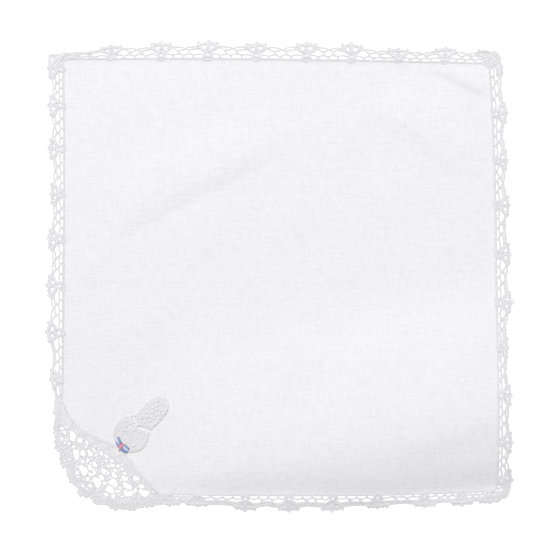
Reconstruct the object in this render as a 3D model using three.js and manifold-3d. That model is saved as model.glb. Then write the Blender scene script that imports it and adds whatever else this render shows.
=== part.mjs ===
// Lace handkerchief lying on the plane Z = 0: a hemmed square of cotton lawn, a crocheted
// edging of daisies and chain net, a crocheted fan in one corner and an applied crochet motif.
// Millimetres, +X to the right of the cloth, +Y to its top, +Z up.
import * as THREE from 'three';
import { mergeVertices } from 'three/addons/utils/BufferGeometryUtils.js';
import Module from 'manifold-3d';

const wasm = await Module();
wasm.setup();

// Cloth
const CLOTH_THICKNESS = 1.0;
const HEM_WIDTH = 2.5;
const HEM_RISE = 0.4;
const CORNER_ROUNDING = 3;
const COARSE_STEP = 10.5;
const FINE_STEP = 5;
const CREASED_WIDTH = 42;

// Lace
const LACE_THICKNESS = 1.4;
const PIECE_GAP = 0.3;
const HEM_SAMPLE = 1;
const SHORTEST_NET = 18;

// The cloth's corners before they are rounded.
const CORNERS = {
  bottomLeft: new THREE.Vector2(-133.9, -133.1),
  topLeft: new THREE.Vector2(-133.3, 134.1),
  topRight: new THREE.Vector2(130.5, 131.9),
  bottomRight: new THREE.Vector2(135.8, -132.2),
};

// The hem's sides, clockwise from the fan: bow is how far a side swells outwards, at the share peak
// of its length.
const SIDES = {
  left: { from: 'bottomLeft', to: 'topLeft', bow: -0.8, peak: 0.7 },
  top: { from: 'topLeft', to: 'topRight', bow: 1.6, peak: 0.4 },
  right: { from: 'topRight', to: 'bottomRight', bow: 2.4, peak: 0.32 },
  bottom: { from: 'bottomRight', to: 'bottomLeft', bow: 2.6, peak: 0.4 },
};

// The lace runs from the share start to the share end of each side.
const LACE_SIDES = {
  left: { start: 0.211, end: 1 },
  top: { start: 0, end: 1 },
  right: { start: 0, end: 1 },
  bottom: { start: 0, end: 0.775 },
};

// The flowers of the edging: at is the place along the side, its y on the left and right sides and
// its x on the others, and reach is how far the flower stands out from the hem. The lace is gathered
// in some places, where there is a reach but no flower.
const FLOWERS = {
  left: [
    { at: -76.7, reach: 5 }, { at: -63.7, reach: 7.6 }, { at: -34.9, reach: 10.3 }, { at: -6, reach: 10.1 },
    { at: 23.4, reach: 10 }, { at: 51, reach: 8.2 }, { at: 78.9, reach: 9.6 }, { at: 106.2, reach: 9.3 },
    { at: 134.1, reach: 8.6, atCorner: true },
  ],
  top: [
    { at: -118, reach: 6.9, gathered: true }, { at: -102.9, reach: 8.4 }, { at: -72.2, reach: 10.2 },
    { at: -43.4, reach: 11.3 }, { at: -13, reach: 10 }, { at: 17.1, reach: 10.9 }, { at: 45.9, reach: 10.7 },
    { at: 74.4, reach: 7.8 }, { at: 103.9, reach: 9.2 }, { at: 130.5, reach: 8.8, atCorner: true },
  ],
  right: [
    { at: 101.2, reach: 9 }, { at: 72.1, reach: 8.3 }, { at: 43.6, reach: 8.9 }, { at: 13.8, reach: 9 },
    { at: -15.7, reach: 9.7 }, { at: -43.9, reach: 6.8 }, { at: -73.6, reach: 8.4 },
    { at: -102.1, reach: 8.6 }, { at: -132.2, reach: 9.4, atCorner: true },
  ],
  bottom: [
    { at: 113.5, reach: 9 }, { at: 91.1, reach: 9 }, { at: 61.7, reach: 9.3 }, { at: 34.1, reach: 11 },
    { at: 6.8, reach: 11 }, { at: -19.8, reach: 10.7 }, { at: -50.2, reach: 7.8 }, { at: -73.2, reach: 8 },
  ],
};

// The folds: each swells along a line, above and below are its half widths to either side, and it
// fades over taper at both ends.
const FOLDS = [
  { name: 'lower swell', from: [-84, -124], to: [210, -76], height: 6, above: 100, below: 40, taper: 62 },
  { name: 'left diagonal', from: [-112, 28], to: [4, 88], height: 0.9, above: 14, below: 14, taper: 34 },
  { name: 'right diagonal', from: [58, 112], to: [129, 62], height: 0.9, above: 13, below: 13, taper: 26 },
  { name: 'corner crease', from: [92, 131], to: [132, 109], height: 0.9, above: 5.5, below: 5.5, taper: 12 },
];

// Half a flower's outer edge and half the net beside it: along is a share of the half interval,
// and out is the height above the hem.
const FLOWER_EDGE = [
  { along: 0.09, out: 10.5 },
  { along: 0.15, out: 9.2 },
  { along: 0.26, out: 9.7 },
  { along: 0.36, out: 9.3 },
  { along: 0.42, out: 8.1 },
  { along: 0.51, out: 8.1 },
  { along: 0.60, out: 6.9 },
  { along: 0.80, out: 6.6 },
];
const FLOWER_TOP = 10.9;
const VALLEY_OUT = 6.5;

// The gaps in half an interval of net: along and halfLength are shares of the half interval, out
// and halfHeight are real heights, and tilt lifts the far end. The middle gaps are on its far end.
const NET_GAPS = [
  { name: 'flank', along: 0.46, out: 4.5, halfLength: 0.26, halfHeight: 1.3, tilt: 0.25 },
  { name: 'low inner', along: 0.38, out: 1.75, halfLength: 0.17, halfHeight: 0.65, tilt: 0 },
  { name: 'low outer', along: 0.79, out: 1.75, halfLength: 0.18, halfHeight: 0.65, tilt: 0 },
];
const MIDDLE_GAPS = [
  { name: 'middle', out: 3.75, halfLength: 0.17, halfHeight: 0.8 },
  { name: 'outer', out: 5.55, halfLength: 0.24, halfHeight: 0.45 },
];

// Points of the lace along the hem: even steps of an interval, and closer ones round a corner.
const HEM_STEPS = 4;
const CORNER_STEPS = [1.2, 2.4, 3.6];

// The corner fan: the curve along which the cloth is cut away, from the bottom hem over the waist
// to the left hem, and the fan's outer curve, in the same direction.
const CUT_CURVE = [
  { x: -80.6, y: -127.6 },
  { x: -86.8, y: -121.0 },
  { x: -93.2, y: -112.4 },
  { x: -99.6, y: -106.6 },
  { x: -109.7, y: -101.6 },
  { x: -122.0, y: -95.4 },
  { x: -129.4, y: -87.6 },
];
const OUTER_CURVE = [
  { x: -82.0, y: -143.0 },
  { x: -95.0, y: -144.6 },
  { x: -107.3, y: -142.2 },
  { x: -117.8, y: -137.6 },
  { x: -125.6, y: -130.4 },
  { x: -131.6, y: -120.1 },
  { x: -136.6, y: -108.0 },
  { x: -138.6, y: -97.0 },
  { x: -138.6, y: -86.0 },
];
const FAN_SCALLOPS = 13;
const SCALLOP_DEPTH = 1.5;
const SCALLOP_POINTS = 6;
const FAN_INNER_POINTS = 32;

// Rows of gaps in the fan: depth is a share of the way from the cut to the outer curve, and the
// gaps spread from the share first to the share last of its width.
const FAN_ROWS = [
  { depth: 0.31, gaps: 6, first: 0.25, last: 0.75, halfLength: 0.036, halfDepth: 0.048 },
  { depth: 0.46, gaps: 7, first: 0.20, last: 0.80, halfLength: 0.039, halfDepth: 0.052 },
  { depth: 0.61, gaps: 7, first: 0.17, last: 0.83, halfLength: 0.042, halfDepth: 0.054 },
  { depth: 0.76, gaps: 8, first: 0.14, last: 0.86, halfLength: 0.040, halfDepth: 0.052 },
];
const FAN_GAP_LEAN = 0.012;

// The applied motif lies on the diagonal that leaves the fan's waist: half is its half width.
const MOTIF_THICKNESS = 1.1;
const MOTIF_WAIST = new THREE.Vector2(-97.6, -104.6);
const MOTIF_AXIS = new THREE.Vector2(1, 1).normalize();
const MOTIF_SIDE = new THREE.Vector2(-1, 1).normalize();
const MOTIF_PROFILE = [
  { along: 0.0, half: 4.0 },
  { along: 2.0, half: 8.2 },
  { along: 5.5, half: 10.9 },
  { along: 9.5, half: 11.7 },
  { along: 14.0, half: 10.7 },
  { along: 18.0, half: 8.2 },
  { along: 21.0, half: 7.2 },
  { along: 26.0, half: 7.3 },
  { along: 31.0, half: 7.3 },
  { along: 35.5, half: 6.4 },
  { along: 38.5, half: 4.4 },
  { along: 40.5, half: 1.6 },
];
const MOTIF_OUTLINE_POINTS = 56;
const COLLAR_SLITS = [
  { along: 17.2, side: 4.6, halfLength: 2.9, halfHeight: 0.95, turn: -0.3 },
  { along: 17.4, side: -3.2, halfLength: 3.3, halfHeight: 0.95, turn: 0.5 },
];

const WHITE_LAWN = new THREE.Color('#f1f1f2');
const WHITE_CROCHET = new THREE.Color('#e6e7ea');
const MOTIF_CROCHET = new THREE.Color('#e3e5e8');

// A number from -1 to 1 that differs from one flower to the next, the same at each run.
function uneven(index, kind) {
  return Math.sin(12.9898 * index + 4.1414 * kind + 0.7);
}

// Height of the cloth's underside over the table.
function liftAt(x, y) {
  let lift = 0;
  for (const fold of FOLDS) {
    const start = new THREE.Vector2(...fold.from);
    const line = new THREE.Vector2(...fold.to).sub(start);
    const length = line.length();
    line.normalize();
    const offset = new THREE.Vector2(x, y).sub(start);
    const along = offset.dot(line);
    const across = line.cross(offset);
    const share = across / (across > 0 ? fold.above : fold.below);
    if (Math.abs(share) >= 1) continue;
    const fade = THREE.MathUtils.smoothstep(along, 0, fold.taper)
      * THREE.MathUtils.smoothstep(length - along, 0, fold.taper);
    lift += fold.height * fade * (1 - share * share) ** 2;
  }
  return lift;
}

// A point of one side of the hem at a share of its length.
function sidePoint(side, share) {
  const from = CORNERS[side.from];
  const to = CORNERS[side.to];
  const direction = to.clone().sub(from).normalize();
  const outwards = new THREE.Vector2(-direction.y, direction.x);
  const sharpness = Math.log(0.5) / Math.log(side.peak);
  const bow = side.bow * Math.sin(Math.PI * share ** sharpness);
  return from.clone().lerp(to, share).addScaledVector(outwards, bow);
}

// The hem that carries the edging, from the fan round the plain corners to the fan again, with its
// corners rounded by a running average.
function hemPath() {
  const sharp = [];
  for (const [name, side] of Object.entries(SIDES)) {
    const lace = LACE_SIDES[name];
    const length = CORNERS[side.from].distanceTo(CORNERS[side.to]);
    const first = lace.start > 0 ? lace.start - CORNER_ROUNDING / length : 0;
    const last = lace.end < 1 ? lace.end + CORNER_ROUNDING / length : 1;
    const steps = Math.round((last - first) * length / HEM_SAMPLE);
    for (let i = sharp.length ? 1 : 0; i <= steps; i++) {
      sharp.push(sidePoint(side, first + (last - first) * i / steps));
    }
  }
  const reach = Math.round(CORNER_ROUNDING / HEM_SAMPLE);
  const points = [];
  for (let i = reach; i < sharp.length - reach; i++) {
    const sum = new THREE.Vector2();
    for (let k = -reach; k <= reach; k++) sum.add(sharp[i + k]);
    points.push(sum.divideScalar(2 * reach + 1));
  }
  const distances = [0];
  for (let i = 1; i < points.length; i++) {
    distances.push(distances[i - 1] + points[i].distanceTo(points[i - 1]));
  }
  return { points, distances, length: distances.at(-1) };
}

const HEM = hemPath();

// The place on the hem at a distance along it, with the outward normal there.
function hemAt(distance) {
  let i = HEM.distances.findIndex((d) => d > distance);
  if (i < 1) i = distance <= 0 ? 1 : HEM.points.length - 1;
  const share = (distance - HEM.distances[i - 1]) / (HEM.distances[i] - HEM.distances[i - 1]);
  const tangentAt = (k) => {
    const before = HEM.points[Math.max(k - 1, 0)];
    const after = HEM.points[Math.min(k + 1, HEM.points.length - 1)];
    return after.clone().sub(before).normalize();
  };
  const tangent = tangentAt(i - 1).lerp(tangentAt(i), share).normalize();
  const point = HEM.points[i - 1].clone().lerp(HEM.points[i], share);
  return { point, outwards: new THREE.Vector2(-tangent.y, tangent.x) };
}

// The distance along the hem that is nearest to a corner of the cloth.
function hemDistanceOf(corner) {
  const gaps = HEM.points.map((p) => p.distanceTo(corner));
  return HEM.distances[gaps.indexOf(Math.min(...gaps))];
}

// Where the sides end along the hem, the two ends beside the fan included.
const STOPS = [
  0,
  hemDistanceOf(CORNERS.topLeft),
  hemDistanceOf(CORNERS.topRight),
  hemDistanceOf(CORNERS.bottomRight),
  HEM.length,
];

// The distance along the hem at a place on one side.
function hemDistanceAt(name, flower) {
  const k = Object.keys(LACE_SIDES).indexOf(name);
  if (flower.atCorner) return STOPS[k + 1];
  const axis = name === 'left' || name === 'right' ? 'y' : 'x';
  let nearest = STOPS[k];
  let smallest = Infinity;
  HEM.points.forEach((point, i) => {
    const onSide = HEM.distances[i] >= STOPS[k] && HEM.distances[i] <= STOPS[k + 1];
    const apart = Math.abs(point[axis] - flower.at);
    if (onSide && apart < smallest) {
      smallest = apart;
      nearest = HEM.distances[i];
    }
  });
  return nearest;
}

// The flowers and gathers in their order along the hem.
const LACE_MARKS = Object.entries(FLOWERS).flatMap(([name, flowers]) =>
  flowers.map((flower) => ({ ...flower, distance: hemDistanceAt(name, flower) })));

// How deep the lace is at a distance along the hem against its drawn depth.
function laceDepth(distance) {
  let i = LACE_MARKS.findIndex((mark) => mark.distance > distance);
  if (i < 0) i = LACE_MARKS.length - 1;
  i = Math.max(i, 1);
  const [before, after] = [LACE_MARKS[i - 1], LACE_MARKS[i]];
  const share = THREE.MathUtils.clamp(
    (distance - before.distance) / (after.distance - before.distance), 0, 1);
  return THREE.MathUtils.lerp(before.reach, after.reach, share) / FLOWER_TOP;
}

// A place in the lace, a distance along the hem and a drawn height out from it.
function lacePoint(distance, out) {
  const { point, outwards } = hemAt(distance);
  return point.addScaledVector(outwards, PIECE_GAP + out * laceDepth(distance));
}

// A closed sheet over flat triangles: each point has a bottom and a top height, and every edge
// that belongs to one triangle gets a wall.
function sheetSolid(points, triangles, bottomOf, topOf) {
  const count = points.length;
  const positions = [];
  for (const p of points) positions.push(p.x, p.y, bottomOf(p));
  for (const p of points) positions.push(p.x, p.y, topOf(p));
  const index = [];
  const edges = new Map();
  for (const [a, b, c] of triangles) {
    index.push(a, c, b, count + a, count + b, count + c);
    for (const [i, j] of [[a, b], [b, c], [c, a]]) {
      if (!edges.delete(`${j},${i}`)) edges.set(`${i},${j}`, [i, j]);
    }
  }
  for (const [i, j] of edges.values()) index.push(i, j, count + j, i, count + j, count + i);
  const geometry = new THREE.BufferGeometry();
  geometry.setAttribute('position', new THREE.Float32BufferAttribute(positions, 3));
  geometry.setIndex(index);
  return geometry;
}

// Flat triangles from several pieces of pattern, with the points that pieces share joined.
class FlatPattern {
  constructor() {
    this.points = [];
    this.triangles = [];
    this.known = new Map();
  }

  pointIndex(point) {
    const key = `${Math.round(point.x * 1000)},${Math.round(point.y * 1000)}`;
    if (!this.known.has(key)) {
      this.known.set(key, this.points.length);
      this.points.push(point);
    }
    return this.known.get(key);
  }

  // Adds an outline with gaps, drawn in pattern coordinates and placed by a function.
  add(outline, gaps, place) {
    const placedOutline = outline.map(place);
    const placedGaps = gaps.map((gap) => gap.map(place));
    const faces = THREE.ShapeUtils.triangulateShape(placedOutline, placedGaps);
    const all = [...placedOutline, ...placedGaps.flat()].map((p) => this.pointIndex(p));
    for (const [a, b, c] of faces) this.triangles.push([all[a], all[b], all[c]]);
  }

  solid(bottom, thickness) {
    const bottomOf = (p) => bottom + liftAt(p.x, p.y);
    return sheetSolid(this.points, this.triangles, bottomOf, (p) => bottomOf(p) + thickness);
  }
}

// A six-sided lens, clockwise as a gap is.
function lens(along, out, halfLength, halfHeight, tilt) {
  const rim = [[-1, 0], [-0.45, 1], [0.45, 1], [1, 0], [0.45, -1], [-0.45, -1]];
  return rim.map(([a, b]) => new THREE.Vector2(along + a * halfLength, out + b * halfHeight + a * tilt));
}

// One interval of edging from the middle of a flower to the middle of the next.
function edgingInterval(pattern, flower, next) {
  const pitch = next.distance - flower.distance;
  const half = pitch / 2;
  const alongHem = [];
  for (let i = 0; i <= HEM_STEPS; i++) alongHem.push(pitch * i / HEM_STEPS);
  if (flower.atCorner) alongHem.push(...CORNER_STEPS);
  if (next.atCorner) alongHem.push(...CORNER_STEPS.map((step) => pitch - step));
  const outline = alongHem.sort((a, b) => a - b).map((along) => new THREE.Vector2(along, 0));
  outline.push(new THREE.Vector2(pitch, FLOWER_TOP));
  for (const edge of FLOWER_EDGE) outline.push(new THREE.Vector2(pitch - edge.along * half, edge.out));
  outline.push(new THREE.Vector2(half, VALLEY_OUT));
  for (const edge of [...FLOWER_EDGE].reverse()) {
    outline.push(new THREE.Vector2(edge.along * half, edge.out));
  }
  outline.push(new THREE.Vector2(0, FLOWER_TOP));
  const gaps = [];
  if (pitch > SHORTEST_NET) {
    for (const gap of MIDDLE_GAPS) {
      gaps.push(lens(half, gap.out, gap.halfLength * half, gap.halfHeight, 0));
    }
    for (const gap of NET_GAPS) {
      const along = gap.along * half;
      const halfLength = gap.halfLength * half;
      gaps.push(lens(along, gap.out, halfLength, gap.halfHeight, gap.tilt));
      gaps.push(lens(pitch - along, gap.out, halfLength, gap.halfHeight, -gap.tilt));
    }
  }
  pattern.add(outline, gaps, (p) => lacePoint(flower.distance + p.x, p.y));
}

function edgingGeometry() {
  const pattern = new FlatPattern();
  const flowers = LACE_MARKS.filter((mark) => !mark.gathered);
  for (let i = 1; i < flowers.length; i++) edgingInterval(pattern, flowers[i - 1], flowers[i]);
  return pattern.solid(0, LACE_THICKNESS);
}

// The two curves of the fan, which start and end beside the edging's two ends.
function fanCurves() {
  const bottomEnd = HEM.length + PIECE_GAP;
  const leftEnd = -PIECE_GAP;
  const spline = (first, table, last) => new THREE.SplineCurve(
    [first, ...table.map((p) => new THREE.Vector2(p.x, p.y)), last]);
  return {
    cut: spline(lacePoint(bottomEnd, 0), CUT_CURVE, lacePoint(leftEnd, 0)),
    outer: spline(lacePoint(bottomEnd, FLOWER_TOP), OUTER_CURVE, lacePoint(leftEnd, FLOWER_TOP)),
  };
}

const FAN = fanCurves();

// A place in the fan: across is the share of its width from the bottom hem to the left hem, and
// depth the share of the way from the cut to the outer curve.
function fanPoint(across, depth) {
  return FAN.cut.getPointAt(across).lerp(FAN.outer.getPointAt(across), depth);
}

// The fan's outer edge as a share of its depth: round scallops that die out at both ends.
function scallop(across) {
  const wave = Math.abs(Math.sin(Math.PI * FAN_SCALLOPS * across));
  const depth = FAN.cut.getPointAt(across).distanceTo(FAN.outer.getPointAt(across));
  return 1 + SCALLOP_DEPTH * (wave - 0.6) * Math.sin(Math.PI * across) / depth;
}

function fanGeometry() {
  const outline = [];
  for (let i = 0; i <= FAN_INNER_POINTS; i++) outline.push(new THREE.Vector2(i / FAN_INNER_POINTS, 0));
  const steps = FAN_SCALLOPS * SCALLOP_POINTS;
  for (let i = steps; i >= 0; i--) outline.push(new THREE.Vector2(i / steps, scallop(i / steps)));
  const gaps = [];
  for (const row of FAN_ROWS) {
    for (let i = 0; i < row.gaps; i++) {
      const across = THREE.MathUtils.lerp(row.first, row.last, i / (row.gaps - 1));
      const tilt = FAN_GAP_LEAN * uneven(i, row.gaps);
      gaps.push(lens(across, row.depth, row.halfLength, row.halfDepth, tilt));
    }
  }
  const pattern = new FlatPattern();
  pattern.add(outline, gaps, (p) => fanPoint(p.x, p.y));
  return pattern.solid(0, LACE_THICKNESS);
}

// Shares at which the cloth's grid has a line: the hem's inner edge, coarse steps, and fine steps
// over the creased stretch before the far end.
function gridShares(length) {
  const places = [0, HEM_WIDTH];
  const fineFrom = length - CREASED_WIDTH;
  const coarse = Math.round((fineFrom - HEM_WIDTH) / COARSE_STEP);
  for (let i = 1; i <= coarse; i++) places.push(THREE.MathUtils.lerp(HEM_WIDTH, fineFrom, i / coarse));
  const fine = Math.round((CREASED_WIDTH - HEM_WIDTH) / FINE_STEP);
  for (let i = 1; i <= fine; i++) places.push(THREE.MathUtils.lerp(fineFrom, length - HEM_WIDTH, i / fine));
  places.push(length);
  return places.map((place) => place / length);
}

// The cloth's grid, stretched between its four bowed sides.
function clothGrid() {
  const width = CORNERS.topLeft.distanceTo(CORNERS.topRight);
  const height = CORNERS.bottomLeft.distanceTo(CORNERS.topLeft);
  const columns = gridShares(width);
  const rows = gridShares(height);
  const { bottomLeft, bottomRight, topLeft, topRight } = CORNERS;
  const points = [];
  const onHem = [];
  rows.forEach((v, j) => columns.forEach((u, i) => {
    const left = sidePoint(SIDES.left, v);
    const right = sidePoint(SIDES.right, 1 - v);
    const bottom = sidePoint(SIDES.bottom, 1 - u);
    const top = sidePoint(SIDES.top, u);
    const flat = bottomLeft.clone().lerp(bottomRight, u).lerp(topLeft.clone().lerp(topRight, u), v);
    const point = left.lerp(right, u).add(bottom.lerp(top, v)).sub(flat);
    const atSide = i === 0 || i === columns.length - 1;
    const atEnd = j === 0 || j === rows.length - 1;
    const rounded = [topLeft, topRight, bottomRight].some((c) => c.distanceTo(point) < CORNER_ROUNDING);
    if (rounded && (atSide || atEnd)) point.copy(hemAt(hemDistanceOf(point)).point);
    points.push(point);
    onHem.push(atSide || atEnd);
  }));
  const triangles = [];
  const across = columns.length;
  for (let j = 1; j < rows.length; j++) {
    for (let i = 1; i < across; i++) {
      const d = j * across + i;
      const [a, b, c] = [d - across - 1, d - across, d - 1];
      triangles.push([a, b, d], [a, d, c]);
    }
  }
  return { points, triangles, onHem };
}

// A three.js geometry as a solid that can be joined and cut, and back again.
function toSolid(geometry) {
  const bare = geometry.clone();
  bare.deleteAttribute('normal');
  bare.deleteAttribute('uv');
  const merged = mergeVertices(bare);
  return new wasm.Manifold(new wasm.Mesh({
    numProp: 3,
    vertProperties: new Float32Array(merged.attributes.position.array),
    triVerts: new Uint32Array(merged.index.array),
  }));
}

function toGeometry(solid) {
  const mesh = solid.getMesh();
  const geometry = new THREE.BufferGeometry();
  geometry.setAttribute('position', new THREE.BufferAttribute(mesh.vertProperties, 3));
  geometry.setIndex(new THREE.BufferAttribute(mesh.triVerts, 1));
  return geometry;
}

// The cloth with its hem a little thicker, cut away where the fan takes its corner.
function clothGeometry() {
  const { points, triangles, onHem } = clothGrid();
  const raised = new Map(points.map((p, i) => [p, onHem[i] ? HEM_RISE : 0]));
  const bottomOf = (p) => liftAt(p.x, p.y);
  const topOf = (p) => bottomOf(p) + CLOTH_THICKNESS + raised.get(p);
  const sheet = sheetSolid(points, triangles, bottomOf, topOf);
  const edge = FAN.cut.getSpacedPoints(FAN_INNER_POINTS);
  const towardsCloth = MOTIF_AXIS.clone().multiplyScalar(PIECE_GAP * Math.SQRT2);
  const outside = new THREE.Vector2(-160, -160);
  const cutter = new THREE.Shape([
    ...edge.map((p) => p.clone().add(towardsCloth)),
    new THREE.Vector2(outside.x, edge.at(-1).y + towardsCloth.y),
    outside,
    new THREE.Vector2(edge[0].x + towardsCloth.x, outside.y),
  ]);
  const depth = 40;
  const block = new THREE.ExtrudeGeometry(cutter, { depth, bevelEnabled: false });
  block.translate(0, 0, -depth / 2);
  return toGeometry(toSolid(sheet).subtract(toSolid(block)));
}

// The motif's place for a distance along its diagonal and to the side of it.
function motifPoint(along, side) {
  return MOTIF_WAIST.clone().addScaledVector(MOTIF_AXIS, along).addScaledVector(MOTIF_SIDE, side);
}

function motifGeometry() {
  const right = MOTIF_PROFILE.map((p) => new THREE.Vector2(p.along, p.half));
  const left = MOTIF_PROFILE.map((p) => new THREE.Vector2(p.along, -p.half)).reverse();
  const rim = new THREE.SplineCurve([...left, ...right, left[0]]).getSpacedPoints(MOTIF_OUTLINE_POINTS);
  rim.pop();
  const outline = rim.reverse();
  const slits = COLLAR_SLITS.map((slit) => lens(0, 0, slit.halfHeight, slit.halfLength, 0).map(
    (p) => p.rotateAround(new THREE.Vector2(), slit.turn).add(new THREE.Vector2(slit.along, slit.side))));
  const place = (p) => motifPoint(p.x, p.y);
  const pattern = new FlatPattern();
  pattern.add(outline.map((p) => new THREE.Vector2(p.x, p.y)), slits, place);
  return pattern.solid(CLOTH_THICKNESS + PIECE_GAP, MOTIF_THICKNESS);
}

function fabricPiece(name, geometry, color) {
  const material = new THREE.MeshStandardMaterial({ color, roughness: 0.9, metalness: 0 });
  const mesh = new THREE.Mesh(geometry, material);
  mesh.name = name;
  return mesh;
}

const handkerchief = new THREE.Group();
handkerchief.add(
  fabricPiece('cloth', clothGeometry(), WHITE_LAWN),
  fabricPiece('edging_lace', edgingGeometry(), WHITE_CROCHET),
  fabricPiece('corner_fan', fanGeometry(), WHITE_CROCHET),
  fabricPiece('crochet_motif', motifGeometry(), MOTIF_CROCHET),
);

// The origin is under the middle of the whole, on the table.
const middle = new THREE.Box3().setFromObject(handkerchief).getCenter(new THREE.Vector3());
handkerchief.position.set(-middle.x, -middle.y, 0);
handkerchief.updateMatrixWorld(true);

export default handkerchief;
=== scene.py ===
# %% [markdown]
# # A lace handkerchief
# A square of fine white cotton lawn lies flat on a white surface. A crocheted edging of daisies and chain
# net is sewn round it, one corner is filled by a crocheted fan, and a small crochet motif with a blue and
# red posy is sewn on above the fan. The fixed frame is loaded first, because every piece is placed in it.

import bpy
import numpy as np
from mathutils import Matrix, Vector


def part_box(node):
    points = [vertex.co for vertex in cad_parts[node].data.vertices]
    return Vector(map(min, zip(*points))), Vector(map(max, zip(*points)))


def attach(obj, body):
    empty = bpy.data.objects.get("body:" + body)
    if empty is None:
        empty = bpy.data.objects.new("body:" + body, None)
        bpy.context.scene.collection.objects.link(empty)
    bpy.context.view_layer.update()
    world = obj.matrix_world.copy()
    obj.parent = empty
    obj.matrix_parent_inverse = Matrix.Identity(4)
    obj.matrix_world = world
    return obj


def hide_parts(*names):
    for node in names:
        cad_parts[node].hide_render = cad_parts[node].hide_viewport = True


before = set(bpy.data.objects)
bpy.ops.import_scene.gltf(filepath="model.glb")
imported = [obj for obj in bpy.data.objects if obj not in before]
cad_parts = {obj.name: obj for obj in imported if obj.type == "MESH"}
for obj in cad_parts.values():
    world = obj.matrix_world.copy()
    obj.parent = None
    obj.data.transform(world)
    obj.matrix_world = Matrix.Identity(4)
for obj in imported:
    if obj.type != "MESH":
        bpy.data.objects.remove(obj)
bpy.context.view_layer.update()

# %% [markdown]
# ## The drawing
# Everything is drawn in millimetres on the plan of the handkerchief, as a maker would draw it on paper, and
# only the last step turns the plan into metres. The hem is not quite square: its sides swell a little, so
# each side is a straight line with a bow. These are the same sizes that the solids have.

# %% Sizes of the cloth and its hem
MM = 0.001
CORNERS = {
    "bottom_left": np.array([-133.9, -133.1]),
    "top_left": np.array([-133.3, 134.1]),
    "top_right": np.array([130.5, 131.9]),
    "bottom_right": np.array([135.8, -132.2]),
}
SIDES = {
    "left": {"start": "bottom_left", "end": "top_left", "bow": -0.8, "peak": 0.7},
    "top": {"start": "top_left", "end": "top_right", "bow": 1.6, "peak": 0.4},
    "right": {"start": "top_right", "end": "bottom_right", "bow": 2.4, "peak": 0.32},
    "bottom": {"start": "bottom_right", "end": "bottom_left", "bow": 2.6, "peak": 0.4},
}
CORNER_ROUNDING = 3


def side_points(name, shares):
    """Points of one side of the hem at shares of its length."""
    side = SIDES[name]
    start, end = CORNERS[side["start"]], CORNERS[side["end"]]
    direction = (end - start) / np.linalg.norm(end - start)
    outwards = np.array([-direction[1], direction[0]])
    sharpness = np.log(0.5) / np.log(side["peak"])
    shares = np.asarray(shares, float)[:, None]
    return start + (end - start) * shares + outwards * side["bow"] * np.sin(np.pi * shares**sharpness)


dense_shares = np.linspace(0, 1, 400)
drawn_right = side_points("right", dense_shares)[:, 0].max()
drawn_bottom = side_points("bottom", dense_shares)[:, 1].min()
cloth_low, cloth_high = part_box("cloth")
DRAWING_SHIFT = np.array([cloth_high.x / MM - drawn_right, cloth_low.y / MM - drawn_bottom])
print("the drawing's middle lies at", DRAWING_SHIFT, "mm in the frame")

# %% [markdown]
# ## The folds
# The cloth was opened out by hand, so it keeps a long soft swell along its lower side, two soft diagonal
# folds, one small crease and three shallow folds on the swell. Each fold is a ridge along a line that fades
# at both ends, gentle on its upper side and steeper below, so that its lower side is in shade. A cloth
# simulation would give other folds each time, and these have to lie where the photograph has them, so they
# are listed one by one. Faint waves keep the rest from being dead flat.

# %% Height of the cloth over the table
FOLDS = [
    {"start": (-84, -124), "end": (210, -76), "height": 5.2, "above": 100, "below": 44, "taper": 62},
    {"start": (-112, 28), "end": (4, 88), "height": 0.9, "above": 32, "below": 13, "taper": 34},
    {"start": (58, 112), "end": (129, 62), "height": 0.9, "above": 32, "below": 13, "taper": 26},
    {"start": (92, 132), "end": (134, 111.5), "height": 0.9, "above": 16, "below": 4, "taper": 16},
    {"start": (0, -130), "end": (176, -104), "height": 2.8, "above": 120, "below": 24, "taper": 60},
    {"start": (62, -114), "end": (156, -71), "height": 0.7, "above": 80, "below": 16, "taper": 28},
    {"start": (-104, -121), "end": (70, -116), "height": 0.9, "above": 60, "below": 18, "taper": 36},
]
WAVES = [
    {"length": (71, 190), "height": 0.10},
    {"length": (-52, 83), "height": 0.08},
    {"length": (230, -47), "height": 0.08},
]


def fade_in(value, length):
    """Goes smoothly from 0 to 1 as the value goes from 0 to the length."""
    share = np.clip(value / length, 0, 1)
    return share * share * (3 - 2 * share)


def lift(points):
    """Height of the cloth's underside over the table at points of the plan."""
    points = np.asarray(points, float)
    height = np.zeros(points.shape[:-1])
    for fold in FOLDS:
        start = np.array(fold["start"], float)
        line = np.array(fold["end"], float) - start
        length = np.linalg.norm(line)
        line = line / length
        along = (points - start) @ line
        across = (points - start) @ np.array([-line[1], line[0]])
        share = np.clip(across / np.where(across > 0, fold["above"], fold["below"]), -1, 1)
        fade = fade_in(along, fold["taper"]) * fade_in(length - along, fold["taper"])
        height += fold["height"] * fade * (1 - share**2) ** 2
    for wave in WAVES:
        phase = points @ (2 * np.pi / np.array(wave["length"], float))
        height += wave["height"] * (1 + np.sin(phase))
    return height


print("highest fold:", lift(np.array([[135.0, -90.0]]))[0], "mm")

# %% [markdown]
# ## The path of the hem
# The edging is worked along the hem in one go, from the fan round three corners to the fan again. So the
# hem is made into one path, its corners are rounded by a running average, and every stitch of the edging is
# placed by its distance along that path and its height out from it. This bends the pattern round the corners
# by itself, as crochet does.

# %% Hem path
LACE_SIDES = {
    "left": {"start": 0.211, "end": 1.0, "chain_width": 1.6, "daisy_width": 1.8},
    "top": {"start": 0.0, "end": 1.0, "chain_width": 1.45, "daisy_width": 1.8},
    "right": {"start": 0.0, "end": 1.0, "chain_width": 1.7, "daisy_width": 1.9},
    "bottom": {"start": 0.0, "end": 0.775, "chain_width": 1.5, "daisy_width": 1.7},
}
PIECE_GAP = 0.3


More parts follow.
